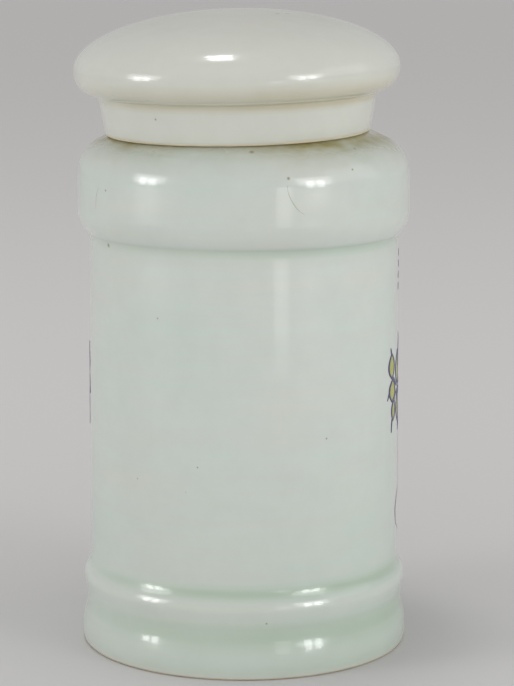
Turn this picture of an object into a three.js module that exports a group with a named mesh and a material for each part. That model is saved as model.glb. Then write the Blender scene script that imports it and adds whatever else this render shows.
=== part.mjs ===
// A lidded apothecary jar in glazed earthenware, in two fired pieces.
// The jar is a hollow cylinder with a beaded foot, a swelling shoulder band and a short plain neck.
// The lid is a hollow mushroom-shaped cap. Its collar drops over the neck and rests on the shoulder.
// Millimetres, +Z up. The origin is the centre of the foot's underside, and -Y is the side with the label.
import * as THREE from "three";

// Driving dimensions of the jar.
const WALL_THICKNESS = 4.2;
const WALL_RADIUS_LOW = 41.5;
const WALL_RADIUS_HIGH = 41.0;
const FOOT = { ringInner: 33.5, edge: 43.1, crest: 43.8, crestHeight: 3.8, recess: 1.6, ringSlope: 1.2 };
const COVE = { radius: 42.65, height: 12.5 };
const BEAD = { radius: 43.3, height: 18, rise: 6.2 };
const BAND = { radius: 44, swell: 9.6, groove: 108.8, low: 117, high: 126.1 };
const SHOULDER = { round: 9.8, slope: THREE.MathUtils.degToRad(25) };
const NECK = { radius: 27.4, mouth: 23.4, top: 146.6 };
const FLOOR_THICKNESS = 6.4;
const FLOOR_FILLET = 6;

// Driving dimensions of the lid, with heights counted from the collar's outer lower edge.
const COLLAR = { low: 35, high: 36.6, inner: 31.1, height: 9.9 };
const RIM = { radius: 42.8, height: 16.8, drop: 6.1 };
const DOME_RISE = 15.2;
const LID_THICKNESS = 4;

// The loose lid has slid this far off the axis, so the sloping shoulder tips it.
const LID_SLIDE = 2.6;
const LID_SLIDE_HEADING = THREE.MathUtils.degToRad(63);
const SEAT_GAP = 0.42;

const SEGMENTS = 48;
const GLAZE_COLOUR = 0xbfcabf;
const LID_COLOUR = 0xc8cbc0;

const at = (radius, height) => new THREE.Vector2(radius, height);

// Part of a circle or ellipse in the outline's plane. Angles run in degrees from outwards (0) to up (90).
function arc(centre, wide, tall, from, to, steps) {
  const points = [];
  for (let i = 0; i <= steps; i++) {
    const angle = THREE.MathUtils.degToRad(THREE.MathUtils.lerp(from, to, i / steps));
    points.push(at(centre.x + wide * Math.cos(angle), centre.y + tall * Math.sin(angle)));
  }
  return points;
}

const smooth = (points, steps) => new THREE.SplineCurve(points).getPoints(steps);

// Where the shoulder's rounding, or a surface a wall's thickness inside it, meets its straight slope.
const shoulderCentre = at(BAND.radius - SHOULDER.round, BAND.high);
const slopeAngle = 90 - THREE.MathUtils.radToDeg(SHOULDER.slope);

function shoulderHeight(radius, inset = 0) {
  const reach = SHOULDER.round - inset;
  const startRadius = shoulderCentre.x + reach * Math.sin(SHOULDER.slope);
  const startHeight = shoulderCentre.y + reach * Math.cos(SHOULDER.slope);
  return startHeight + (startRadius - radius) * Math.tan(SHOULDER.slope);
}

// The underside: a bare standing ring round a shallow recess.
function jarUnderside() {
  return [
    at(0, FOOT.recess),
    at(FOOT.ringInner - FOOT.ringSlope, FOOT.recess),
    at(FOOT.ringInner, 0),
    at(FOOT.edge, 0),
  ];
}

// From the standing ring up over the foot, the cove and the bead to the wall.
function footMoulding() {
  return smooth(
    [
      at(FOOT.edge + 0.35, 0.5),
      at(FOOT.crest, FOOT.crestHeight),
      at(FOOT.crest - 0.5, FOOT.crestHeight + 4),
      at(COVE.radius, COVE.height - 0.7),
      at(COVE.radius, COVE.height + 0.7),
      at(BEAD.radius - 0.15, BEAD.height - 1.5),
      at(BEAD.radius, BEAD.height),
      at(BEAD.radius - 0.35, BEAD.height + 1.6),
      at(WALL_RADIUS_LOW + 0.75, BEAD.height + 3),
      at(WALL_RADIUS_LOW + 0.2, BEAD.height + 4.5),
      at(WALL_RADIUS_LOW, BEAD.height + BEAD.rise),
    ],
    22,
  );
}

// From the wall out over the shoulder band and up the slope to the neck.
function shoulderOutside() {
  const swell = arc(at(BAND.radius - BAND.swell, BAND.low), BAND.swell, BAND.swell, -45, 0, 6);
  const rounding = arc(shoulderCentre, SHOULDER.round, SHOULDER.round, 0, slopeAngle, 7);
  const neckFoot = NECK.radius + 1.5;
  return [
    at(WALL_RADIUS_HIGH, BAND.groove),
    ...swell,
    ...rounding,
    at(neckFoot, shoulderHeight(neckFoot)),
    at(NECK.radius + 0.4, shoulderHeight(NECK.radius + 0.4) + 0.4),
    at(NECK.radius, shoulderHeight(NECK.radius) + 1.6),
  ];
}

// The neck's rounded rim, its bore, and the inside of the shoulder, the wall and the floor.
function jarInside() {
  const rimRadius = (NECK.radius - NECK.mouth) / 2;
  const rim = arc(at(NECK.mouth + rimRadius, NECK.top - rimRadius), rimRadius, rimRadius, 0, 180, 6);
  const innerRound = SHOULDER.round - WALL_THICKNESS;
  const lipRadius = NECK.mouth + 1.2;
  const rounding = arc(shoulderCentre, innerRound, innerRound, slopeAngle, 0, 4);
  const bellyRadius = BAND.radius - WALL_THICKNESS;
  const insideHigh = WALL_RADIUS_HIGH - WALL_THICKNESS;
  const insideLow = WALL_RADIUS_LOW - WALL_THICKNESS;
  const belly = smooth(
    [
      at(bellyRadius, BAND.low),
      at(bellyRadius - 0.7, BAND.groove + 4),
      at(insideHigh + 0.4, BAND.groove - 1),
      at(insideHigh, BAND.groove - 5),
    ],
    6,
  );
  const corner = at(insideLow - FLOOR_FILLET, FLOOR_THICKNESS + FLOOR_FILLET);
  return [
    ...rim,
    at(NECK.mouth, shoulderHeight(NECK.mouth, WALL_THICKNESS) + 1),
    at(lipRadius, shoulderHeight(lipRadius, WALL_THICKNESS)),
    ...rounding,
    ...belly,
    ...arc(corner, FLOOR_FILLET, FLOOR_FILLET, 0, -90, 5),
    at(0, FLOOR_THICKNESS),
  ];
}

// The lid's outside, from the crown down to the collar's lower edge.
function lidOutside() {
  const dome = arc(at(0, RIM.height), RIM.radius, DOME_RISE, 90, 0, 14);
  const bend = COLLAR.high + 0.8;
  const turnUnder = arc(at(bend, RIM.height), RIM.radius - bend, RIM.drop, -15, -90, 6);
  return [
    ...dome,
    ...turnUnder,
    at(COLLAR.high, COLLAR.height),
    at(COLLAR.high - 0.45, COLLAR.height - 2.2),
    at(COLLAR.low + 0.1, 1),
    at(COLLAR.low - 0.4, 0.2),
  ];
}

// The collar's lower edge is trimmed to the shoulder's slope. Above it the inside opens into the dome.
function lidInside() {
  const edgeRise = (COLLAR.low - COLLAR.inner) * Math.tan(SHOULDER.slope);
  const hollowRadius = RIM.radius - LID_THICKNESS - 0.6;
  return [
    at(COLLAR.inner + 0.4, edgeRise),
    at(COLLAR.inner, edgeRise + 0.6),
    ...smooth(
      [
        at(COLLAR.inner + 0.3, COLLAR.height - 0.4),
        at(COLLAR.inner + 2.9, COLLAR.height + 2.5),
        at(hollowRadius - 1, RIM.height - 1.6),
        at(hollowRadius, RIM.height + 0.6),
      ],
      8,
    ),
    ...arc(at(0, RIM.height), hollowRadius, DOME_RISE - LID_THICKNESS, 8, 90, 12),
  ];
}

// Drops points that repeat the one before, so that no face has zero area.
function turned(outline) {
  const clean = outline.filter((p, i) => i === 0 || p.distanceTo(outline[i - 1]) > 0.02);
  clean[0].x = 0;
  clean[clean.length - 1].x = 0;
  return new THREE.LatheGeometry(clean, SEGMENTS).rotateX(Math.PI / 2);
}

function glazed(colour) {
  return new THREE.MeshStandardMaterial({ color: colour, roughness: 0.15, metalness: 0 });
}

function makeJar() {
  const outline = [...jarUnderside(), ...footMoulding(), ...shoulderOutside(), ...jarInside()];
  const jar = new THREE.Mesh(turned(outline), glazed(GLAZE_COLOUR));
  jar.name = "jar";
  return jar;
}

// The shoulder falls away under the side that the lid has slid towards, so the lid tips down on that side.
function makeLid() {
  const lid = new THREE.Mesh(turned([...lidOutside(), ...lidInside()].reverse()), glazed(LID_COLOUR));
  lid.name = "lid";
  const tilt = Math.atan((LID_SLIDE * Math.tan(SHOULDER.slope)) / COLLAR.low);
  const tiltAxis = new THREE.Vector3(-Math.sin(LID_SLIDE_HEADING), Math.cos(LID_SLIDE_HEADING), 0);
  lid.quaternion.setFromAxisAngle(tiltAxis, tilt);
  lid.position.set(
    LID_SLIDE * Math.cos(LID_SLIDE_HEADING),
    LID_SLIDE * Math.sin(LID_SLIDE_HEADING),
    shoulderHeight(COLLAR.low) + SEAT_GAP,
  );
  return lid;
}

const apothecaryJar = new THREE.Group();
apothecaryJar.add(makeJar(), makeLid());

export default apothecaryJar;
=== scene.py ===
"""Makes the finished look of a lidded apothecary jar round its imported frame.

The jar and the lid are turned outlines. The painted sprays are flat strokes of raised enamel, laid
out on the unrolled wall and wrapped round it. Everything is in metres, in the frame's own axes: +Z is
up and -Y is the side with the label.
"""

import math

import bpy
import numpy as np
from bpy.props import FloatProperty, FloatVectorProperty, IntProperty, PointerProperty
from mathutils import Matrix, Vector


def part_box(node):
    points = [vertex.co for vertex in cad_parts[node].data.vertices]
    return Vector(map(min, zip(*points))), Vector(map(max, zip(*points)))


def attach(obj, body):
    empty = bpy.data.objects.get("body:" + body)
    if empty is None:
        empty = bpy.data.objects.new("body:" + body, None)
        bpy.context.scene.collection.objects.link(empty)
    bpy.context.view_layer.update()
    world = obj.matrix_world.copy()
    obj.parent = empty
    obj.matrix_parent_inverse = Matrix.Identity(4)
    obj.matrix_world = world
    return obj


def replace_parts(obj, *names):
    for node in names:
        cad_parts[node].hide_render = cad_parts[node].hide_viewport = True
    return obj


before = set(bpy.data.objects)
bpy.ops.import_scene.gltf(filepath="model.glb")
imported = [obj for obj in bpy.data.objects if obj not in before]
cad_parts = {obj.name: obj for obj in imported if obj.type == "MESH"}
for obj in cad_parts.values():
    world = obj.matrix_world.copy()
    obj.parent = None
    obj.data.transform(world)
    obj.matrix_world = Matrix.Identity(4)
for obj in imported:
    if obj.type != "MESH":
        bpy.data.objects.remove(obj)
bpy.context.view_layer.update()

bl_info = {
    "name": "Apothecary Jar",
    "version": (1, 0, 0),
    "blender": (4, 5, 0),
    "location": "3D View > Sidebar > Apothecary Jar",
    "description": "Makes a glazed apothecary jar with a loose lid and painted sprays",
    "category": "Object",
}

MM = 0.001
JAR_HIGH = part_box("jar")[1]
TURNED_SIDES = 224
TABLE_RADIUS = 9.0
TABLE_SIDES = 64
TABLE_CLEARANCE = 0.15 * MM
WALL_FOOT = 24.0 * MM
WALL_HEAD = 108.4 * MM
BAND_TURN_HEIGHT = 117 * MM
SHOULDER_TURN_HEIGHT = 126.1 * MM
RIPPLE_PITCH = 11 * MM
PAINT_RADIUS = 41.3
DEGREES_PER_MM = math.degrees(1 * MM / (PAINT_RADIUS * MM))
SPECK_BROWN = (0.36, 0.31, 0.17, 1.0)
PIT_BROWN = (0.23, 0.165, 0.06, 1.0)
PINHOLE_BROWN = (0.10, 0.085, 0.06, 1.0)
DAPPLE_GREY = (0.30, 0.31, 0.24, 1.0)
PALE_CLAY = (0.80, 0.72, 0.55, 1.0)
LEAF_WASH = (0.52, 0.54, 0.16)
PETAL_WASH = (0.33, 0.36, 0.52)
COBALT_WASH = (0.06, 0.055, 0.20)
MANGANESE_WASH = (0.34, 0.24, 0.30)
CRACK_WASH = (0.24, 0.22, 0.15)


# ---------------------------------------------------------------------------------------------
# Sizes and colours
# ---------------------------------------------------------------------------------------------


def length(name, description, default):
    """A length in metres, shown to a hundredth of a millimetre."""
    return FloatProperty(name=name, description=description, default=default, unit="LENGTH", precision=5)


def colour(name, description, default):
    """A linear colour without alpha."""
    return FloatVectorProperty(name=name, description=description, default=default, size=3, subtype="COLOR")


class JarSizes(bpy.types.PropertyGroup):
    """The jar's driving dimensions."""

    band_radius: length("Band radius", "Radius of the swelling band below the shoulder", JAR_HIGH.x)
    neck_top: length("Neck top", "Height of the neck's rim above the table", JAR_HIGH.z)
    wall_low: length("Lower wall radius", "Radius of the wall just above the foot mouldings", 41.5 * MM)
    wall_high: length("Upper wall radius", "Radius of the wall just below the band", 41.0 * MM)
    thickness: length("Wall thickness", "Thickness of the fired wall", 4.2 * MM)
    foot_radius: length("Foot radius", "Greatest radius of the foot", 43.8 * MM)
    ring_radius: length("Ring inner radius", "Inner radius of the bare standing ring", 33.5 * MM)
    bead_radius: length("Bead radius", "Greatest radius of the bead over the foot", 43.3 * MM)
    neck_radius: length("Neck radius", "Outer radius of the neck under the lid", 27.4 * MM)
    mouth_radius: length("Mouth radius", "Radius of the opening in the neck", 23.4 * MM)
    shoulder_round: length("Shoulder rounding", "Radius of the rounding over the band", 9.8 * MM)
    shoulder_slope: FloatProperty(
        name="Shoulder slope",
        description="Slope of the shoulder that the lid rests on",
        default=math.radians(25),
        subtype="ANGLE",
    )


class LidSizes(bpy.types.PropertyGroup):
    """The lid's driving dimensions and the way it has slid on the shoulder."""

    rim_radius: length("Rim radius", "Greatest radius of the lid", 42.8 * MM)
    dome_rise: length("Dome rise", "Height of the crown above the rim", 15.2 * MM)
    collar_low: length("Collar lower radius", "Outer radius at the collar's lower edge", 35.0 * MM)
    collar_high: length("Collar upper radius", "Outer radius where the collar meets the cap", 36.6 * MM)
    collar_inner: length("Collar inner radius", "Inner radius of the collar", 31.1 * MM)
    thickness: length("Thickness", "Thickness of the fired dome", 4.0 * MM)
    slide: length("Slide", "How far the loose lid has slid off the jar's axis", 2.6 * MM)
    heading: FloatProperty(
        name="Slide heading",
        description="Direction of the slide, turned from +X towards +Y",
        default=math.radians(63),
        subtype="ANGLE",
    )
    seat_gap: length("Seat gap", "Clear height between the collar and the shoulder", 0.42 * MM)


class PaintSizes(bpy.types.PropertyGroup):
    """The painted decoration."""

    relief: length("Relief", "How far the fired enamel stands over the glaze", 0.06 * MM)
    line: length("Line width", "Width of an outline drawn with the fine brush", 0.95 * MM)
    sides: IntProperty(name="Sides", description="Faces round one stroke", default=10, min=6)


class GlazeColours(bpy.types.PropertyGroup):
    """The colours of the glaze, the clay and the enamels."""

    jar: colour("Jar glaze", "Pale green glaze of the jar", (0.645, 0.72, 0.675))
    pooled_and_shaded: colour("Pooled glaze", "Glaze where it runs together and looks deeper", (0.46, 0.575, 0.46))
    thin: colour("Thin glaze", "Glaze where it has drawn thin over a crest", (0.685, 0.70, 0.635))
    lid: colour("Lid glaze", "Creamier glaze of the lid", (0.69, 0.71, 0.645))
    # The deeper lid colour also paints shade on the underside of the lid's rim.
    lid_pooled_and_shaded: colour("Pooled lid glaze", "Lid glaze where it looks deeper", (0.62, 0.59, 0.45))
    clay: colour("Bare clay", "Fired clay where no glaze sticks", (0.70, 0.60, 0.41))
    # This colour also darkens the shoulder under the lid and paints shade in the crease under the lid's rim.
    dust_and_shade: colour("Grime", "Old dust worked into the glaze by the lid", (0.34, 0.31, 0.12))
    blue: colour("Cobalt line", "Blue-violet of the outlines", (0.03, 0.028, 0.12))
    leaf: colour("Leaf green", "Yellow-green of the leaves", (0.40, 0.42, 0.07))
    mauve: colour("Manganese line", "Mauve of the tendrils and the label's border", (0.23, 0.14, 0.20))
    petal: colour("Petal blue", "Washed blue of the flowers", (0.20, 0.22, 0.45))


class StudioSettings(bpy.types.PropertyGroup):
    """The table, the lights and the camera."""

    distance: length("Camera distance", "Distance from the camera to the point it looks at", 643 * MM)
    aim_height: length("Aim height", "Height of the point that the camera looks at", 80.1 * MM)
    shift: FloatProperty(name="Shift", description="Sideways shift of the picture", default=0.0192)
    azimuth: FloatProperty(
        name="Azimuth", description="Camera direction, turned from -Y towards +X",
        default=math.radians(188.5), subtype="ANGLE",
    )
    elevation: FloatProperty(
        name="Elevation", description="Camera angle above the table",
        default=math.radians(9.93), subtype="ANGLE",
    )
    lens: FloatProperty(name="Lens", description="Focal length in millimetres", default=125.95)
    # Darker than the far table: painted shade round the jar.
    floor: colour("Table", "Colour of the plain table top under the jar", (0.62, 0.615, 0.612))
    far_floor: colour("Far table", "Colour that the table top fades to", (0.89, 0.875, 0.87))
    room: colour("Room", "Colour of the soft light from the room", (1.0, 0.99, 0.985))
    room_light: FloatProperty(name="Room light", description="Strength of the room's light", default=0.49)


# ---------------------------------------------------------------------------------------------
# Node trees
# ---------------------------------------------------------------------------------------------


class Wire:
    """An output socket. Arithmetic on it adds Math nodes to the tree that it belongs to."""

    def __init__(self, loom, socket):
        self.loom = loom
        self.socket = socket

    def _math(self, operation, *terms):
        return self.loom.node("ShaderNodeMath", {"operation": operation}, dict(enumerate(terms)))

    def __add__(self, other):
        return self._math("ADD", self, other)

    def __radd__(self, other):
        return self._math("ADD", other, self)

    def __sub__(self, other):
        return self._math("SUBTRACT", self, other)

    def __rsub__(self, other):
        return self._math("SUBTRACT", other, self)

    def __mul__(self, other):
        return self._math("MULTIPLY", self, other)

    def __rmul__(self, other):
        return self._math("MULTIPLY", other, self)

    def __truediv__(self, other):
        return self._math("DIVIDE", self, other)

    def __abs__(self):
        return self._math("ABSOLUTE", self)

    def clamp(self):
        return self.loom.node("ShaderNodeClamp", {}, {"Value": self})

    def above(self, threshold, softness):
        """0 below the threshold, rising to 1 over the softness."""
        return ((self - threshold) / softness).clamp()


class Loom:
    """Adds nodes to one tree, for a material or for geometry."""

    def __init__(self, tree):
        self.tree = tree

    def node(self, kind, settings, inputs, output=0):
        """Adds a node, applies its settings, then sets or links its input sockets."""
        made = self.tree.nodes.new(kind)
        for name, value in settings.items():
            setattr(made, name, value)
        for name, value in inputs.items():
            if isinstance(value, Wire):
                self.tree.links.new(value.socket, made.inputs[name])
            else:
                made.inputs[name].default_value = value
        return Wire(self, made.outputs[output]) if made.outputs else None


class Finish(Loom):
    """The nodes of one material."""

    def __init__(self, name):
        self.material = bpy.data.materials.new(name)
        self.material.use_nodes = True
        super().__init__(self.material.node_tree)
        self.tree.nodes.clear()
        self.place = self.node("ShaderNodeTexCoord", {}, {}, "Object")

    def attribute(self, name):
        return self.node("ShaderNodeAttribute", {"attribute_name": name}, {}, "Fac")

    def scaled(self, scale):
        return self.node("ShaderNodeVectorMath", {"operation": "MULTIPLY"}, {0: self.place, 1: scale})

    def noise(self, scale, detail=2.0, rough=0.5, place=None):
        inputs = {"Vector": place or self.place, "Scale": scale, "Detail": detail, "Roughness": rough}
        return self.node("ShaderNodeTexNoise", {}, inputs, "Fac")

    def specks(self, cell, size, share, rare_share):
        """Two kinds of round spot of the given radius, each in its own share of the cells."""
        inputs = {"Vector": self.place, "Scale": 1 / cell}
        distance = self.node("ShaderNodeTexVoronoi", {}, inputs, "Distance")
        chance = Wire(self, distance.socket.node.outputs["Color"])
        chance = self.node("ShaderNodeSeparateColor", {}, {0: chance}, "Red")
        spot = (1 - distance / (size / cell)).clamp()
        return spot * (share - chance).above(0, 0.001), spot * chance.above(1 - rare_share, 0.001)

    def spot(self, centre, size):
        """1 at a point given in millimetres, falling to 0 at the spot's edge."""
        centre = [c * MM for c in centre]
        ends = {0: self.place, 1: centre}
        away = self.node("ShaderNodeVectorMath", {"operation": "DISTANCE"}, ends, "Value")
        return (1 - away / (size * MM)).clamp()

    def mix(self, factor, first, second):
        """A colour between two others."""
        return self.node("ShaderNodeMix", {"data_type": "RGBA"}, {0: factor, 6: first, 7: second}, 2)

    def bump(self, height, distance):
        inputs = {"Height": height, "Distance": distance, "Strength": 1.0}
        return self.node("ShaderNodeBump", {}, inputs, "Normal")

    def finish(self, inputs):
        shader = self.node("ShaderNodeBsdfPrincipled", {}, inputs)
        self.node("ShaderNodeOutputMaterial", {}, {"Surface": shader})
        return self.material


def rgba(value):
    """The same colour with full alpha."""
    return (*value, 1.0)


# Pits in the glaze that have caught dirt, as (centre, radius) in millimetres.
JAR_PITS = [
    ((-17.16, 40.11, 128.75), 0.55),
    ((-31.66, 22.46, 134.75), 0.5),
    ((-31.88, 29.10, 130.10), 0.4),
    ((30.83, 31.34, 124.04), 0.4),
    ((-7.6, 37.6, 134.9), 0.9),
    ((-34.78, 7.50, 136.27), 0.5),
    ((-11.97, 40.93, 14.80), 0.4),
    ((-26.07, 31.98, 61.60), 0.35),
    ((5.76, 40.93, 55.00), 0.3),
    ((16.43, 37.64, 92.50), 0.3),
    ((31.14, 26.78, 109.40), 0.8),
    ((22.48, 34.69, 50.10), 0.25),
    ((14.0, -36.6, 134.3), 0.5),
]
LID_PITS = [
    ((-10.32, 10.60, 168.06), 0.9),
    ((-12.65, 8.59, 168.00), 0.8),
    ((-0.23, 2.11, 168.99), 0.8),
    ((28.89, 6.72, 164.86), 0.6),
    ((17.15, 34.84, 142.49), 0.4),
    ((18.08, 7.81, 167.29), 0.6),
]


def glaze(name, base, pooled_and_shaded, thin, marks, look):
    """Pale tin glaze: deeper where it pools, thin on crests, with specks, pinholes, dust, painted shade
    under the lid's rim and bare clay.
    """
    finish = Finish(name)
    pool_and_shade = finish.attribute("pool_and_shade")
    crest = finish.attribute("crest")
    bare = finish.attribute("bare")
    dust_and_shade = finish.attribute("dust_and_shade")

    clouds = finish.noise(30.0, 2.0)
    streaks = finish.noise(1.0, 2.0, place=finish.scaled((16.0, 16.0, 420.0)))
    dapple = finish.noise(170.0, 2.0, 0.6)
    side = finish.node("ShaderNodeSeparateXYZ", {}, {0: finish.place}, "X") / (40 * MM)
    # The deeper colour follows pooled glaze, and on the lid it also paints shade on the rim's underside.
    pooling_and_shade = (pool_and_shade * (0.43 + 0.9 * clouds - 0.38 * side)).clamp()
    flecks, pinholes = finish.specks(9 * MM, 0.33 * MM, 0.16, 0.04)
    pits = sum(finish.spot(centre, size) for centre, size in marks)

    colour = finish.mix((0.6 * clouds + 0.4 * streaks).above(0.38, 0.26) * 0.6, rgba(base), rgba(thin))
    colour = finish.mix((1 - clouds).above(0.5, 0.2) * 0.12, colour, rgba(pooled_and_shaded))
    colour = finish.mix(pooling_and_shade, colour, rgba(pooled_and_shaded))
    colour = finish.mix((crest * 0.7).clamp(), colour, rgba(thin))
    colour = finish.mix(dapple.above(0.35, 0.4) * 0.045, colour, DAPPLE_GREY)
    colour = finish.mix(flecks * 0.22, colour, SPECK_BROWN)

    # Dust and painted shade in one brownish colour: dust on the lid's crown, painted shade in the crease
    # under the lid's rim, and a darker, yellower shoulder under the lid; stronger towards both sides in X.
    dust_and_shade_amount = (dust_and_shade * (0.12 + 2.7 * dapple * clouds * (0.35 + abs(side)))).clamp()
    colour = finish.mix(dust_and_shade_amount, colour, rgba(look.dust_and_shade))
    colour = finish.mix(pinholes * 0.7, colour, PINHOLE_BROWN)
    colour = finish.mix((pits * 1.2).clamp() * 0.8, colour, PIT_BROWN)

    clay = finish.mix(dapple.above(0.35, 0.35), rgba(look.clay), PALE_CLAY)
    edge = (bare + (dapple - 0.5) * 0.35).above(0.4, 0.15)
    colour = finish.mix(edge, colour, clay)

    uneven = finish.noise(70.0, 2.0, 0.3, place=finish.scaled((1.0, 1.0, 2.2)))
    skin = finish.bump(uneven, 0.28 * MM)

    gloss = 0.17 + 0.08 * dapple + 0.25 * dust_and_shade_amount
    gloss = gloss + edge * (0.78 - gloss)
    return finish.finish(
        {
            "Base Color": colour,
            "Roughness": gloss,
            "Normal": skin,
            "IOR": 1.45,
            "Coat Weight": 0.7 * (1 - edge),
            "Coat Roughness": 0.08,
            "Coat IOR": 1.5,
        }
    )


def enamel(name, base, washed, look):
    """Fired enamel, thin and uneven from the brush, under the same gloss as the glaze."""
    finish = Finish(name)
    wash = finish.noise(420.0, 3.0, 0.6)
    strokes = finish.noise(1.0, 2.0, place=finish.scaled((700.0, 700.0, 1500.0)))
    colour = finish.mix(wash.above(0.38, 0.35) * 0.6, rgba(base), rgba(washed))
    colour = finish.mix(strokes.above(0.62, 0.2) * 0.25, colour, rgba(look.jar))
    raised = finish.bump(strokes, 0.02 * MM)
    return finish.finish(
        {"Base Color": colour, "Roughness": 0.14 + 0.1 * wash, "Normal": raised, "IOR": 1.52}
    )


def table_top(shade_near_jar, far):
    """A pale table top with painted shade round the jar: darker near it, fading lighter away from it."""
    finish = Finish("pale table with painted shade")
    away = finish.node("ShaderNodeVectorMath", {"operation": "LENGTH"}, {0: finish.place}, "Value")
    colour = finish.mix(away / (away + 0.18), rgba(shade_near_jar), rgba(far))
    return finish.finish({"Base Color": colour, "Roughness": 0.75})


# ---------------------------------------------------------------------------------------------
# Outlines
# ---------------------------------------------------------------------------------------------


def arc(centre, wide, tall, start, end, steps):
    """Part of a circle or ellipse. Angles run in degrees from outwards (0) to up (90)."""
    angles = np.radians(np.linspace(start, end, steps + 1))
    return [(centre[0] + wide * math.cos(a), centre[1] + tall * math.sin(a)) for a in angles]


def smooth(points, steps):
    """A curve through the points, each stretch bending with its neighbours."""
    p = np.array(points, float)
    p = np.vstack([p[0], p, p[-1]])
    curve = []
    for t in np.linspace(0, len(points) - 1, steps + 1):
        i = min(int(t), len(points) - 2)
        u = t - i
        a, b, c, d = p[i], p[i + 1], p[i + 2], p[i + 3]
        bend = (2 * b) + (c - a) * u + (2 * a - 5 * b + 4 * c - d) * u * u + (3 * b - a - 3 * c + d) * u**3
        curve.append(tuple(0.5 * bend))
    return curve


def refined(outline, longest):
    """Adds points to long stretches and drops points that repeat the one before."""
    points = [outline[0]]
    for x, z in outline[1:]:
        px, pz = points[-1]
        gap = math.hypot(x - px, z - pz)
        if gap < 0.02 * MM:
            continue
        pieces = math.ceil(gap / longest)
        points += [(px + (x - px) * k / pieces, pz + (z - pz) * k / pieces) for k in range(1, pieces + 1)]
    return np.array(points)


def bending(points, reach):
    """How sharply the outline turns at each point, in radians: positive on crests, negative in hollows."""
    steps = np.hypot(*np.diff(points, axis=0).T)
    along = np.concatenate([[0], np.cumsum(steps)])

    def at(distance):
        distance = np.clip(distance, 0, along[-1])
        return np.stack([np.interp(distance, along, points[:, k]) for k in (0, 1)], axis=1)

    before = points - at(along - reach)
    after = at(along + reach) - points
    cross = before[:, 0] * after[:, 1] - before[:, 1] * after[:, 0]
    dot = (before * after).sum(axis=1)
    return np.arctan2(cross, dot)


class Shoulder:
    """The rounding over the band and the straight slope that runs from it up to the neck."""

    def __init__(self, sizes):
        self.sizes = sizes
        self.centre = (sizes.band_radius - sizes.shoulder_round, SHOULDER_TURN_HEIGHT)
        self.slope = sizes.shoulder_slope

    def height(self, radius, inset=0.0):
        reach = self.sizes.shoulder_round - inset
        start = (
            self.centre[0] + reach * math.sin(self.slope),
            self.centre[1] + reach * math.cos(self.slope),
        )
        return start[1] + (start[0] - radius) * math.tan(self.slope)

    def rounding(self, inset, steps):
        reach = self.sizes.shoulder_round - inset
        return arc(self.centre, reach, reach, 0, 90 - math.degrees(self.slope), steps)


def jar_outline(s):
    """The jar's outline, from the middle of the underside round the outside and back down the inside."""
    shoulder = Shoulder(s)
    recess = 1.6 * MM
    foot_edge = s.foot_radius - 0.7 * MM
    underside = [
        (0, recess),
        (s.ring_radius - 1.6 * MM, recess),
        (s.ring_radius - 1.1 * MM, recess - 0.3 * MM),
        (s.ring_radius - 0.3 * MM, 0.25 * MM),
        (s.ring_radius, 0),
        (foot_edge, 0),
    ]
    cove = s.wall_low + 1.0 * MM
    foot = smooth(
        [
            (foot_edge + 0.35 * MM, 0.5 * MM),
            (s.foot_radius - 0.05 * MM, 2.0 * MM),
            (s.foot_radius, 3.8 * MM),
            (s.foot_radius - 0.17 * MM, 5.8 * MM),
            (s.foot_radius - 0.53 * MM, 7.8 * MM),
            (cove + 0.30 * MM, 9.8 * MM),
            (cove + 0.05 * MM, 11.8 * MM),
            (cove + 0.05 * MM, 13.2 * MM),
            (cove + 0.35 * MM, 15.0 * MM),
            (s.bead_radius - 0.15 * MM, 16.5 * MM),
            (s.bead_radius, 18.0 * MM),
            (s.bead_radius - 0.35 * MM, 19.6 * MM),
            (s.wall_low + 0.75 * MM, 21.0 * MM),
            (s.wall_low + 0.2 * MM, 22.5 * MM),
            (s.wall_low, 24.2 * MM),
        ],
        90,
    )
    wall = [(s.wall_low, 25.0 * MM), (s.wall_high, 107.9 * MM)]
    groove = [(s.wall_high + 0.03 * MM, 108.8 * MM)]
    reach = 9.6 * MM
    swell = arc((s.band_radius - reach, BAND_TURN_HEIGHT), reach, reach, -45, 0, 22)
    foot_of_neck = s.neck_radius + 1.5 * MM
    neck = [
        (foot_of_neck, shoulder.height(foot_of_neck)),
        (s.neck_radius + 0.4 * MM, shoulder.height(s.neck_radius + 0.4 * MM) + 0.4 * MM),
        (s.neck_radius, shoulder.height(s.neck_radius) + 1.6 * MM),
    ]
    lip = (s.neck_radius - s.mouth_radius) / 2
    rim = arc((s.mouth_radius + lip, s.neck_top - lip), lip, lip, 0, 180, 16)
    throat = s.mouth_radius + 1.2 * MM
    inside = [
        (s.mouth_radius, shoulder.height(s.mouth_radius, s.thickness) + 1 * MM),
        (throat, shoulder.height(throat, s.thickness)),
    ]
    inside += shoulder.rounding(s.thickness, 8)[::-1]
    belly = s.band_radius - s.thickness
    wall_inside = s.wall_high - s.thickness
    inside += smooth(
        [
            (belly, 117.6 * MM),
            (belly - 0.7 * MM, 113.2 * MM),
            (wall_inside + 0.4 * MM, 108.2 * MM),
            (wall_inside, 104.2 * MM),
        ],
        14,
    )
    floor, fillet = 6.4 * MM, 6 * MM
    inside += arc((s.wall_low - s.thickness - fillet, floor + fillet), fillet, fillet, 0, -90, 10)
    outside = underside + foot + wall + groove + swell + shoulder.rounding(0, 26)
    return outside + neck + rim + inside + [(0, floor)]


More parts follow.
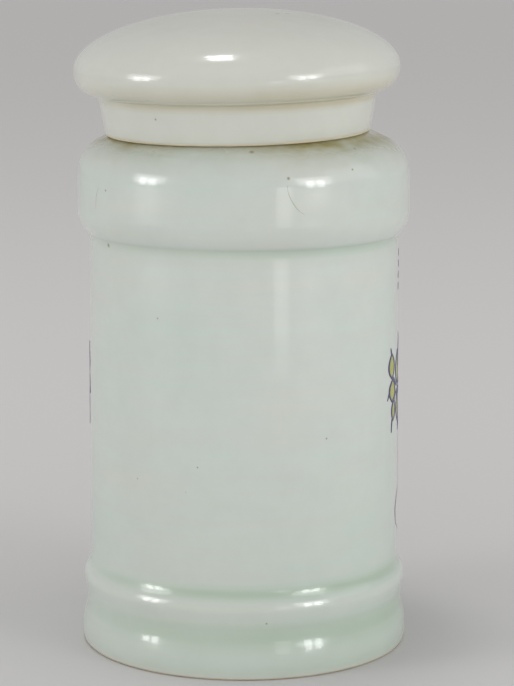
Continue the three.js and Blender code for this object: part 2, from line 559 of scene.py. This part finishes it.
def lid_outline(s, slope):
    """The lid's outline, from the top of its hollow down the inside and up the outside to the crown."""
    collar_height, rim_height, drop = 9.9 * MM, 16.8 * MM, 6.1 * MM
    hollow = s.rim_radius - s.thickness - 0.6 * MM
    edge_rise = (s.collar_low - s.collar_inner) * math.tan(slope)
    inside = arc((0, rim_height), hollow, s.dome_rise - s.thickness, 90, 8, 26)
    inside += smooth(
        [
            (hollow, rim_height + 0.6 * MM),
            (hollow - 1 * MM, rim_height - 1.6 * MM),
            (s.collar_inner + 2.9 * MM, collar_height + 2.5 * MM),
            (s.collar_inner + 0.3 * MM, collar_height - 0.4 * MM),
            (s.collar_inner, edge_rise + 0.6 * MM),
        ],
        22,
    )
    edge = [
        (s.collar_inner + 0.4 * MM, edge_rise),
        (s.collar_low - 0.75 * MM, 0.16 * MM),
        (s.collar_low - 0.35 * MM, 0.22 * MM),
        (s.collar_low - 0.08 * MM, 0.5 * MM),
    ]
    collar = [
        (s.collar_low, 0.8 * MM),
        (s.collar_low + 0.1 * MM, 1.4 * MM),
        (s.collar_high - 0.45 * MM, collar_height - 2.2 * MM),
    ]
    neck = smooth(
        [
            (s.collar_high - 0.45 * MM, collar_height - 2.2 * MM),
            (s.collar_high - 0.1 * MM, collar_height - 0.4 * MM),
            (s.collar_high + 0.25 * MM, rim_height - drop - 0.35 * MM),
            (s.collar_high + 0.9 * MM, rim_height - drop - 0.02 * MM),
        ],
        12,
    )
    bend = s.collar_high + 0.8 * MM
    turn = arc((bend, rim_height), s.rim_radius - bend, drop, -86, -6, 22)
    dome = arc((0, rim_height), s.rim_radius, s.dome_rise, 0, 90, 64)
    return inside + edge + collar + neck + turn + dome


# ---------------------------------------------------------------------------------------------
# Meshes
# ---------------------------------------------------------------------------------------------


def hand_turned(points, depth, seed):
    """Moves points slightly in and out, as a pot thrown and fired by hand is never quite round."""
    rng = np.random.default_rng(seed)
    angle = np.arctan2(points[:, 1], points[:, 0])
    radius = np.hypot(points[:, 0], points[:, 1])
    offset = np.zeros(len(points))
    for lobes in (2, 3, 4, 5):
        phase, twist = rng.uniform(0, 2 * math.pi), rng.uniform(-18, 18)
        offset += np.cos(lobes * angle + phase + twist * points[:, 2]) / lobes
    offset += 0.25 * np.sin(points[:, 2] * 2 * math.pi / RIPPLE_PITCH + 2 * np.sin(angle + phase))
    swell = 1 + depth * offset / (44 * MM) * np.clip(radius / (20 * MM), 0, 1)
    moved = points.copy()
    moved[:, :2] *= swell[:, None]
    return moved


def turned_mesh(name, outline, sides, attributes, wobble):
    """Turns an outline that starts and ends on the axis into a closed mesh."""
    ring = outline[1:-1]
    angles = np.arange(sides) * 2 * math.pi / sides
    rings = np.stack(
        [
            np.outer(ring[:, 0], np.cos(angles)),
            np.outer(ring[:, 0], np.sin(angles)),
            np.repeat(ring[:, 1:], sides, axis=1),
        ],
        axis=2,
    ).reshape(-1, 3)
    poles = [(0, 0, outline[0][1]), (0, 0, outline[-1][1])]
    points = hand_turned(np.vstack([rings, poles]), *wobble)
    start, end = len(rings), len(rings) + 1
    last = (len(ring) - 1) * sides
    faces = []
    for k in range(sides):
        n = (k + 1) % sides
        faces.append((start, n, k))
        faces.append((end, last + k, last + n))
        for row in range(0, last, sides):
            faces.append((row + k, row + n, row + sides + n, row + sides + k))
    mesh = bpy.data.meshes.new(name)
    mesh.from_pydata(points.tolist(), [], faces)
    for attribute, values in attributes.items():
        layer = mesh.attributes.new(attribute, "FLOAT", "POINT")
        spread = np.concatenate([np.repeat(values[1:-1], sides), [values[0], values[-1]]])
        layer.data.foreach_set("value", spread.astype(np.float32))
    mesh.shade_smooth()
    mesh.validate()
    return mesh


def add_piece(name, mesh, material, body):
    """Adds a mesh to the scene as a visible piece that rides on a body."""
    mesh.materials.clear()
    mesh.materials.append(material)
    piece = bpy.data.objects.new(name, mesh)
    bpy.context.scene.collection.objects.link(piece)
    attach(piece, body)
    return piece


# How far each pot is out of round, and the seed of its shape.
JAR_WOBBLE = (0.07 * MM, 11)
LID_WOBBLE = (0.09 * MM, 23)


# Where the jar's glaze lies deeper, as (share, height, half width) in millimetres.
GLAZE_POOLS = [
    (0.85, 10.5, 3.4),
    (0.85, 22.0, 1.5),
    (0.35, 0.8, 1.8),
    (0.12, 117.0, 8.0),
]
# Where the jar's glaze has run down, as (share, height that the run starts at, drop to its full depth).
GLAZE_RUNS = [
    (0.40, 12.0, 9.0),
    (0.24, 70.0, 46.0),
]


def bump_at(values, middle, width):
    """1 at the middle, falling away on both sides."""
    return np.exp(-(((values - middle) / width) ** 2))


def ramp_down(values, top, drop):
    """0 from the top up, rising to 1 over the drop below it."""
    return np.clip((top - values) / drop, 0, 1)


# ---------------------------------------------------------------------------------------------
# Painted strokes
# ---------------------------------------------------------------------------------------------


class Brush:
    """Collects strokes on the unrolled wall: x runs round the wall from the front, y runs up."""

    def __init__(self, radius):
        self.radius = radius
        self.strokes = []

    def stroke(self, points, widths, sides=(1, -1)):
        """A stroke through points of (degrees from the front, millimetres up), with millimetre widths."""
        widths = np.interp(np.linspace(0, 1, len(points)), np.linspace(0, 1, len(widths)), widths)
        for side in sides:
            path = [(side * math.radians(a) * self.radius, z * MM) for a, z in points]
            self.strokes.append((path, [w * MM / 2 for w in widths]))

    def mesh(self, name):
        """The strokes as a mesh of edges, with half of each width as an attribute."""
        points, edges, widths = [], [], []
        for path, halves in self.strokes:
            first = len(points)
            points += [(x, y, 0) for x, y in path]
            edges += [(first + k, first + k + 1) for k in range(len(path) - 1)]
            widths += halves
        mesh = bpy.data.meshes.new(name)
        mesh.from_pydata(points, edges, [])
        mesh.attributes.new("half_width", "FLOAT", "POINT").data.foreach_set("value", widths)
        return mesh


def leaf_axis(centre, turn, length):
    """Five points along a leaf, from its base to its tip. A turn of 0 points the tip straight up."""
    a, z = centre
    along = np.linspace(-0.5, 0.5, 5) * length
    lean = math.radians(turn)
    return [(a + t * math.sin(lean) * DEGREES_PER_MM, z + t * math.cos(lean)) for t in along]


def leaf_edge(axis, width, side):
    """One edge of a leaf: its axis moved sideways by the leaf's half width."""
    lean = math.atan2((axis[-1][0] - axis[0][0]) / DEGREES_PER_MM, axis[-1][1] - axis[0][1])
    edge = []
    for (a, z), share in zip(axis, [0.06, 0.80, 1.0, 0.72, 0.06]):
        out = side * share * width / 2
        edge.append((a + out * math.cos(lean) * DEGREES_PER_MM, z - out * math.sin(lean)))
    return edge


# Leaves as (degrees from the front, height, turn, length, width), lengths in millimetres.
SIDE_LEAVES = [
    (101.0, 76.3, 4, 6.6, 4.9),
    (100.2, 69.7, -8, 5.8, 5.4),
    (98.6, 64.4, -14, 5.6, 3.4),
    (91.4, 75.0, -6, 9.0, 4.6),
    (90.6, 64.2, 12, 8.0, 4.4),
    (84.0, 79.5, -20, 8.0, 4.2),
    (82.5, 60.5, 28, 8.0, 4.0),
    (70.0, 80.8, -62, 7.0, 3.6),
    (68.5, 58.4, 66, 7.0, 3.6),
    (60.0, 86.6, -48, 6.6, 3.4),
    (58.5, 52.8, 52, 6.6, 3.4),
]
TOP_LEAVES = [
    (46.0, 92.8, -60, 6.4, 3.4),
    (36.0, 94.0, -110, 6.2, 3.2),
    (27.0, 97.6, -62, 6.0, 3.2),
    (18.0, 97.2, -112, 5.6, 3.0),
    (9.0, 99.6, -70, 5.4, 3.0),
]
LOW_LEAVES = [
    (46.0, 46.4, -120, 6.4, 3.4),
    (36.5, 45.2, -68, 6.2, 3.2),
    (27.0, 41.8, -116, 6.0, 3.2),
    (18.0, 42.2, -66, 5.6, 3.0),
    (9.0, 39.6, -110, 5.4, 3.0),
]
# Flowers as (degrees from the front, height, petal length).
FLOWERS = [(76.5, 69.6, 6.2), (52.5, 97.0, 4.4), (52.5, 41.6, 4.4)]
PETALS = 5


def draw_leaves(fills, lines, line):
    for a, z, turn, length, width in SIDE_LEAVES + TOP_LEAVES + LOW_LEAVES:
        axis = leaf_axis((a, z), turn, length)
        fills.stroke(axis, [0.3, 0.8 * width, 0.98 * width, 0.74 * width, 0.3])
        for side in (1, -1):
            lines.stroke(leaf_edge(axis, width, side), [line * 0.7, line * 1.25, line * 0.7])


def draw_flowers(petals, lines, line):
    for a, z, size in FLOWERS:
        for k in range(PETALS):
            turn = 360 * k / PETALS + 20
            lean = math.radians(turn)
            reach = 0.62 * size
            centre = (a + reach * math.sin(lean) * DEGREES_PER_MM, z + reach * math.cos(lean))
            axis = leaf_axis(centre, turn, size)
            width = 0.62 * size
            petals.stroke(axis, [0.4, 0.9 * width, width, 0.9 * width, 0.5])
            for side in (1, -1):
                lines.stroke(leaf_edge(axis, width, side), [line * 0.6, line, line * 0.6])
        eye = 0.25 * DEGREES_PER_MM
        lines.stroke([(a - eye, z), (a, z + 0.2), (a + eye, z)], [1.6, 2.2, 1.6])


# Tails and stalks as (points, widths), with each width a share of the line width.
STEMS = [
    ([(101.3, 79.2), (101.9, 80.2), (102.5, 81.2)], [1.0, 0.9, 0.5]),
    ([(103.2, 70.2), (104.8, 68.8), (106.0, 67.6)], [0.8, 0.8, 0.4]),
    ([(100.4, 62.0), (101.2, 60.6), (101.5, 58.6)], [0.9, 0.9, 0.6]),
    ([(100.6, 73.3), (97.6, 72.4), (93.5, 70.6), (86.0, 69.8)], [1.1, 1.0, 0.8]),
    ([(97.6, 66.9), (95.0, 68.4), (90.0, 69.2)], [0.25, 0.6, 0.75]),
    ([(90.8, 79.2), (89.4, 74.5), (88.4, 69.0), (88.8, 62.0), (88.6, 57.6)], [0.4, 1.0, 0.5]),
    ([(85.0, 75.8), (82.0, 73.4), (80.0, 71.6)], [0.75, 0.6, 0.25]),
    ([(83.6, 64.2), (81.5, 66.5), (79.6, 68.0)], [0.75, 0.6, 0.25]),
    ([(68.0, 72.6), (60.0, 77.6), (56.6, 84.0), (53.6, 93.4)], [0.7, 0.9, 0.5]),
    ([(68.0, 66.6), (60.0, 61.6), (56.6, 55.2), (53.6, 45.4)], [0.7, 0.9, 0.5]),
    ([(49.0, 95.0), (36.0, 95.8), (20.0, 98.2), (3.0, 100.2)], [0.8, 0.7, 0.3]),
    ([(49.0, 43.6), (36.0, 43.2), (20.0, 41.4), (3.0, 39.2)], [0.8, 0.7, 0.3]),
]
# Dashes that climb the wall over the leaves.
DASHES = 4


def draw_stems(lines, line):
    """Fine blue tails and stalks that join the leaves."""
    for points, shares in STEMS:
        lines.stroke(points, [line * share for share in shares])
    for k in range(DASHES):
        height = 95.5 + 2.9 * k
        dash = [(88.2 - 0.9 * k, height), (87.2 - 0.9 * k, height + 1.7)]
        lines.stroke(dash, [line * 0.5, line * 0.9, line * 0.4])


# Trailing tendrils as (points, widths in millimetres).
TENDRILS = [
    ([(84.5, 57.0), (85.0, 52.0), (84.8, 47.0), (86.6, 42.0)], [0.3, 0.55, 0.3]),
    ([(88.0, 41.2), (92.6, 39.2), (94.9, 36.4), (93.2, 32.6)], [0.5, 1.15, 1.25, 0.5]),
    ([(86.6, 42.0), (74.0, 33.8), (58.0, 31.0), (40.0, 32.6), (20.0, 35.6), (4.0, 36.2)], [0.6, 1.1, 0.5]),
    ([(93.2, 32.6), (84.0, 29.6), (72.0, 28.2), (60.0, 28.6)], [0.5, 0.9, 0.3]),
]


def draw_label(lines, line):
    """The empty label in front: a scrolled border and the trailing tendrils at its sides."""
    top = [(0.02, 86.0), (14, 85.8), (28, 84.8), (40, 82.4), (47, 78.4), (50, 73.2), (50.6, 69.6)]
    low = [(a, 139.2 - z) for a, z in top]
    for path in (top, low):
        lines.stroke(path, [line * 1.5, line * 1.5, line * 1.1])
        inner = [(a * 0.955, 69.6 + (z - 69.6) * 0.885) for a, z in path]
        lines.stroke(inner, [line * 0.5, line * 0.6, line * 0.45])
    curl = [
        (50.6 + 2.9 * math.cos(t) * (1 - t / 9) + 2.9, 69.6 + 3.6 * math.sin(t) * (1 - t / 9))
        for t in np.linspace(math.pi, 3.6 * math.pi, 14)
    ]
    lines.stroke(curl, [line * 1.2, line * 0.9, line * 0.4])
    for points, widths in TENDRILS:
        lines.stroke(points, widths)


def draw_hairlines(cracks):
    """Hairline cracks in the glaze of the band, darkened by age."""
    long_crack = [(157.3, 127.0), (157.0, 125.1), (155.6, 122.8), (153.6, 120.8), (151.5, 119.7)]
    short_crack = [(131.0, 124.6), (129.4, 122.0), (129.0, 118.6)]
    cracks.stroke(long_crack, [0.05, 0.13, 0.05], sides=(-1,))
    cracks.stroke(short_crack, [0.05, 0.1, 0.05], sides=(1,))


def socket_named(modifier, name):
    """The identifier of the tree's input with the given name."""
    for item in modifier.node_group.interface.items_tree:
        if item.item_type == "SOCKET" and item.in_out == "INPUT" and item.name == name:
            return item.identifier
    raise ValueError(f"the tree has no input named {name}")


def stroke_tree():
    """Sweeps each stroke to its own width, flattens it to the relief and wraps it round the wall."""
    tree = bpy.data.node_groups.new("Brush strokes on a wall", "GeometryNodeTree")
    face = tree.interface
    face.new_socket("Geometry", in_out="INPUT", socket_type="NodeSocketGeometry")
    named = {
        "Sides": "NodeSocketInt",
        "Relief": "NodeSocketFloat",
        "Lift": "NodeSocketFloat",
        "Unrolled Radius": "NodeSocketFloat",
        "Low Radius": "NodeSocketFloat",
        "High Radius": "NodeSocketFloat",
        "Low Height": "NodeSocketFloat",
        "High Height": "NodeSocketFloat",
        "Material": "NodeSocketMaterial",
    }
    for name, kind in named.items():
        face.new_socket(name, in_out="INPUT", socket_type=kind)
    face.new_socket("Geometry", in_out="OUTPUT", socket_type="NodeSocketGeometry")
    loom = Loom(tree)
    entry = tree.nodes.new("NodeGroupInput")
    given = {name: Wire(loom, entry.outputs[name]) for name in ["Geometry", *named]}

    half_width = loom.node("GeometryNodeInputNamedAttribute", {"data_type": "FLOAT"}, {"Name": "half_width"})
    path = loom.node("GeometryNodeMeshToCurve", {}, {0: given["Geometry"]})
    path = loom.node("GeometryNodeCurveSplineType", {"spline_type": "CATMULL_ROM"}, {"Curve": path})
    path = loom.node("GeometryNodeSetSplineResolution", {}, {"Geometry": path, "Resolution": 5})
    ring = loom.node("GeometryNodeCurvePrimitiveCircle", {}, {"Resolution": given["Sides"], "Radius": 1.0})
    sweep = {"Curve": path, "Profile Curve": ring, "Scale": half_width, "Fill Caps": True}
    swept = loom.node("GeometryNodeCurveToMesh", {}, sweep)

    position = loom.node("GeometryNodeInputPosition", {}, {})
    split = loom.node("ShaderNodeSeparateXYZ", {}, {0: position}, "X")
    parts = split.socket.node
    x, y, z = (Wire(loom, parts.outputs[axis]) for axis in "XYZ")
    relief = given["Relief"]
    proud = relief * z / (relief + abs(z)) + given["Lift"]
    climb = (y - given["Low Height"]) / (given["High Height"] - given["Low Height"])
    wall = given["Low Radius"] + climb * (given["High Radius"] - given["Low Radius"])
    reach = wall + proud
    turn = x / given["Unrolled Radius"]
    across = reach * loom.node("ShaderNodeMath", {"operation": "SINE"}, {0: turn})
    forward = reach * loom.node("ShaderNodeMath", {"operation": "COSINE"}, {0: turn})
    wrapped = loom.node("ShaderNodeCombineXYZ", {}, {"X": across, "Y": 0 - forward, "Z": y})
    laid = loom.node("GeometryNodeSetPosition", {}, {"Geometry": swept, "Position": wrapped})
    laid = loom.node("GeometryNodeRealizeInstances", {}, {0: laid})
    laid = loom.node("GeometryNodeSetMaterial", {}, {"Geometry": laid, "Material": given["Material"]})
    loom.node("NodeGroupOutput", {}, {0: laid})
    return tree


def painted(name, brush, tree, material, lift, wall, paint):
    """Runs the stroke tree on a brush's strokes and keeps the result as a plain mesh on the jar."""
    guide = bpy.data.objects.new(name + "_guide", brush.mesh(name + "_guide"))
    bpy.context.scene.collection.objects.link(guide)
    modifier = guide.modifiers.new("Strokes", "NODES")
    modifier.node_group = tree
    values = {
        "Sides": paint.sides,
        "Relief": paint.relief,
        "Lift": lift,
        "Unrolled Radius": brush.radius,
        "Low Radius": wall[0],
        "High Radius": wall[1],
        "Low Height": WALL_FOOT,
        "High Height": WALL_HEAD,
        "Material": material,
    }
    for socket, value in values.items():
        modifier[socket_named(modifier, socket)] = value
    graph = bpy.context.evaluated_depsgraph_get()
    mesh = bpy.data.meshes.new_from_object(guide.evaluated_get(graph))
    guide.modifiers.remove(modifier)
    bpy.data.objects.remove(guide)
    points = np.empty(len(mesh.vertices) * 3)
    mesh.vertices.foreach_get("co", points)
    mesh.vertices.foreach_set("co", hand_turned(points.reshape(-1, 3), *JAR_WOBBLE).ravel())
    mesh.name = name
    mesh.shade_smooth()
    return add_piece(name, mesh, material, "jar")


# ---------------------------------------------------------------------------------------------
# Operators
# ---------------------------------------------------------------------------------------------


class JAR_OT_turn_jar(bpy.types.Operator):
    """Turn the jar's outline into its glazed shell"""

    bl_idname = "apothecary.turn_jar"
    bl_label = "Turn the Jar"

    def execute(self, context):
        sizes = context.scene.jar_sizes
        look = context.scene.glaze_colours
        outline = refined(jar_outline(sizes), 2.6 * MM)
        radius, height = outline.T
        order = np.arange(len(outline))
        outside = order <= np.argmax(height)
        turn = bending(outline, 2.6 * MM)
        on_shoulder = outside & (height > 128 * MM)
        runs = sum(share * bump_at(height, middle * MM, width * MM) for share, middle, width in GLAZE_POOLS)
        runs += sum(share * ramp_down(height, top * MM, drop * MM) for share, top, drop in GLAZE_RUNS)
        ring = (height < 0.3 * MM) & (radius > sizes.ring_radius - 2 * MM)
        # Darker and yellower on the shoulder under the lid, most round the collar's seat and towards the
        # neck.
        under_lid = 0.55 * bump_at(radius, 36.4 * MM, 3.0 * MM)
        inner_shoulder = 0.42 * ramp_down(radius, 44 * MM, 9 * MM)
        attributes = {
            "pool_and_shade": (np.clip(-turn * 0.95 - 0.04, 0, 1) + 0.6 * runs) * outside,
            "crest": np.clip(turn * 0.9 - 0.12, 0, 1) * outside,
            "bare": 1.0 * ring,
            "dust_and_shade": on_shoulder * (under_lid + inner_shoulder),
        }
        mesh = turned_mesh("jar_shell", outline, TURNED_SIDES, attributes, JAR_WOBBLE)
        material = glaze("pale green tin glaze", look.jar, look.pooled_and_shaded, look.thin, JAR_PITS, look)
        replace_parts(add_piece("jar_shell", mesh, material, "jar"), "jar")
        return {"FINISHED"}


class JAR_OT_turn_lid(bpy.types.Operator):
    """Turn the lid's outline into its glazed shell and rest it on the shoulder"""

    bl_idname = "apothecary.turn_lid"
    bl_label = "Turn the Lid"

    def execute(self, context):
        jar = context.scene.jar_sizes
        sizes = context.scene.lid_sizes
        look = context.scene.glaze_colours
        outline = refined(lid_outline(sizes, jar.shoulder_slope), 2.2 * MM)
        radius, height = outline.T
        lowest = np.argmin(height)
        outside = np.arange(len(outline)) >= lowest
        turn = bending(outline, 2.2 * MM)
        # Painted shade on the underside of the rim, laid in the deeper lid colour together with the glaze
        # pooled there.
        under = bump_at(height, 12.6 * MM, 2.6 * MM) * (radius > sizes.collar_high + 1 * MM)
        edge_top = 0.6 * MM + (sizes.collar_low - radius) * math.tan(jar.shoulder_slope)
        # Darker and yellower at the collar's lower edge, painted shade in the crease under the rim, and dust
        # on the crown.
        at_edge = 0.55 * bump_at(height, 0, 1.0 * MM)
        shade_at_neck = 0.12 * bump_at(height, 10.6 * MM, 1.6 * MM)
        on_crown = 0.20 * bump_at(height, 31 * MM, 3 * MM)
        attributes = {
            "pool_and_shade": (np.clip(-turn * 1.3 - 0.05, 0, 1) + 0.75 * under) * outside,
            "crest": np.clip(turn * 0.5 - 0.12, 0, 1) * outside,
            "bare": 1.0 * (height < edge_top),
            "dust_and_shade": outside * (at_edge + shade_at_neck + on_crown),
        }
        mesh = turned_mesh("lid_shell", outline, TURNED_SIDES, attributes, LID_WOBBLE)
        tilt = math.atan(sizes.slide * math.tan(jar.shoulder_slope) / sizes.collar_low)
        across = Vector((-math.sin(sizes.heading), math.cos(sizes.heading), 0))
        seat = Shoulder(jar).height(sizes.collar_low) + sizes.seat_gap
        slid = Vector((math.cos(sizes.heading), math.sin(sizes.heading), 0)) * sizes.slide
        mesh.transform(Matrix.Translation(slid + Vector((0, 0, seat))) @ Matrix.Rotation(tilt, 4, across))
        material = glaze("creamy tin glaze", look.lid, look.lid_pooled_and_shaded, look.thin, LID_PITS, look)
        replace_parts(add_piece("lid_shell", mesh, material, "lid"), "lid")
        return {"FINISHED"}


class JAR_OT_paint_sprays(bpy.types.Operator):
    """Paint the sprays, the flowers and the empty label on the wall"""

    bl_idname = "apothecary.paint_sprays"
    bl_label = "Paint the Sprays"

    def execute(self, context):
        sizes = context.scene.jar_sizes
        paint = context.scene.paint_sizes
        look = context.scene.glaze_colours
        radius = (sizes.wall_low + sizes.wall_high) / 2
        fills, petals, outlines, tendrils = (Brush(radius) for _ in range(4))
        line = paint.line / MM
        draw_leaves(fills, outlines, line)
        draw_flowers(petals, outlines, line)
        draw_stems(outlines, line)
        draw_label(tendrils, line)
        tree = stroke_tree()
        lift = paint.relief
        green = enamel("leaf green enamel", look.leaf, LEAF_WASH, look)
        wash = enamel("washed blue enamel", look.petal, PETAL_WASH, look)
        blue = enamel("cobalt blue enamel", look.blue, COBALT_WASH, look)
        mauve = enamel("manganese mauve enamel", look.mauve, MANGANESE_WASH, look)
        wall = (sizes.wall_low, sizes.wall_high)
        painted("painted_leaves", fills, tree, green, 0.0, wall, paint)
        painted("painted_petals", petals, tree, wash, 0.0, wall, paint)
        painted("painted_outlines", outlines, tree, blue, 0.9 * lift, wall, paint)
        painted("painted_label", tendrils, tree, mauve, 0.1 * lift, wall, paint)
        cracks = Brush(sizes.band_radius)
        draw_hairlines(cracks)
        dark = enamel("dust in hairline cracks", look.dust_and_shade, CRACK_WASH, look)
        painted("hairline_cracks", cracks, tree, dark, -0.2 * lift, (sizes.band_radius,) * 2, paint)
        return {"FINISHED"}


class JAR_OT_set_stage(bpy.types.Operator):
    """Set the table, the lights and the camera"""

    bl_idname = "apothecary.set_stage"
    bl_label = "Set the Stage"

    def execute(self, context):
        studio = context.scene.studio_settings
        mesh = bpy.data.meshes.new("table_top")
        angles = np.linspace(0, 2 * math.pi, TABLE_SIDES, endpoint=False)
        rim = [(TABLE_RADIUS * math.cos(a), TABLE_RADIUS * math.sin(a), 0) for a in angles]
        mesh.from_pydata(rim, [], [tuple(range(TABLE_SIDES))])
        mesh.materials.append(table_top(studio.floor, studio.far_floor))
        table = bpy.data.objects.new("table_top", mesh)
        table.location.z = -TABLE_CLEARANCE
        context.scene.collection.objects.link(table)
        make_room(context.scene, studio)
        make_lights(context.scene, studio)
        make_camera(context.scene, studio)
        return {"FINISHED"}


def heading(azimuth, elevation):
    """The direction that points out from the jar at an azimuth turned from -Y towards +X."""
    flat = math.cos(elevation)
    return Vector((math.sin(azimuth) * flat, -math.cos(azimuth) * flat, math.sin(elevation)))


def make_room(scene, studio):
    """Fills the room with soft even light."""
    world = bpy.data.worlds.new("soft room")
    world.use_nodes = True
    world.node_tree.nodes["Background"].inputs["Color"].default_value = rgba(studio.room)
    world.node_tree.nodes["Background"].inputs["Strength"].default_value = studio.room_light
    scene.world = world
    scene.view_settings.view_transform = "Standard"


# Lights as name, degrees right of the camera, degrees up, distance, width, height, power, spread.
LIGHTS = [
    ("left_pane_outer", -71.9, 7.6, 1.5, 0.14, 0.42, 1.45, 180),
    ("left_pane_inner", -64.1, 7.6, 1.5, 0.14, 0.42, 1.45, 180),
    ("left_curtain", -67.5, 14.0, 1.6, 0.70, 0.52, 3.1, 180),
    ("right_pane_inner", 44.9, 7.6, 1.5, 0.14, 0.42, 1.45, 180),
    ("right_pane_outer", 52.7, 7.6, 1.5, 0.14, 0.42, 1.45, 180),
    ("right_curtain", 48.5, 14.0, 1.6, 0.70, 0.52, 3.1, 180),
    ("right_wall", 82.0, 24.0, 1.2, 0.9, 0.6, 0.9, 180),
    ("ceiling", -90.0, 83.0, 1.4, 0.33, 0.22, 2.2, 180),
    ("doorway", 26.0, -1.0, 0.42, 0.075, 0.105, 0.0021, 40),
]


def make_lights(scene, studio):
    """Hangs the lights round the point that the camera looks at, each turned to face it."""
    middle = Vector((0, 0, studio.aim_height))
    for name, aside, up, distance, width, height, power, spread in LIGHTS:
        light = bpy.data.lights.new(name, "AREA")
        light.shape = "RECTANGLE"
        light.size, light.size_y, light.energy = width, height, power
        light.spread = math.radians(spread)
        lamp = bpy.data.objects.new(name, light)
        away = heading(studio.azimuth + math.radians(aside), math.radians(up))
        lamp.location = middle + away * distance
        lamp.rotation_mode = "QUATERNION"
        lamp.rotation_quaternion = away.to_track_quat("Z", "Y")
        lamp.visible_camera = False
        scene.collection.objects.link(lamp)


def make_camera(scene, studio):
    """Sets the camera on its direction, facing the point that it looks at."""
    away = heading(studio.azimuth, studio.elevation)
    aim = Vector((0, 0, studio.aim_height))
    camera = bpy.data.cameras.new("camera")
    camera.lens = studio.lens
    camera.shift_x = studio.shift
    camera.clip_start, camera.clip_end = 0.01, 50
    holder = bpy.data.objects.new("camera", camera)
    holder.location = aim + away * studio.distance
    holder.rotation_mode = "QUATERNION"
    holder.rotation_quaternion = away.to_track_quat("Z", "Y")
    scene.collection.objects.link(holder)
    scene.camera = holder


class JAR_PT_sidebar(bpy.types.Panel):
    """Lists the steps that make the jar"""

    bl_idname = "JAR_PT_sidebar"
    bl_label = "Apothecary Jar"
    bl_space_type = "VIEW_3D"
    bl_region_type = "UI"
    bl_category = "Apothecary Jar"

    def draw(self, context):
        for group in GROUPS:
            box = self.layout.box()
            for name in GROUPS[group].__annotations__:
                box.prop(getattr(context.scene, group), name)
        for step in STEPS:
            self.layout.operator(step.bl_idname)


GROUPS = {
    "jar_sizes": JarSizes,
    "lid_sizes": LidSizes,
    "paint_sizes": PaintSizes,
    "glaze_colours": GlazeColours,
    "studio_settings": StudioSettings,
}
STEPS = [JAR_OT_set_stage, JAR_OT_turn_jar, JAR_OT_turn_lid, JAR_OT_paint_sprays]


def register():
    for cls in [*GROUPS.values(), *STEPS, JAR_PT_sidebar]:
        bpy.utils.register_class(cls)
    for name, cls in GROUPS.items():
        setattr(bpy.types.Scene, name, PointerProperty(type=cls))


def unregister():
    for name in GROUPS:
        delattr(bpy.types.Scene, name)
    for cls in [JAR_PT_sidebar, *STEPS, *GROUPS.values()]:
        bpy.utils.unregister_class(cls)


def main():
    register()
    bpy.ops.apothecary.set_stage()
    bpy.ops.apothecary.turn_jar()
    bpy.ops.apothecary.turn_lid()
    bpy.ops.apothecary.paint_sprays()


if __name__ == "__main__":
    main()
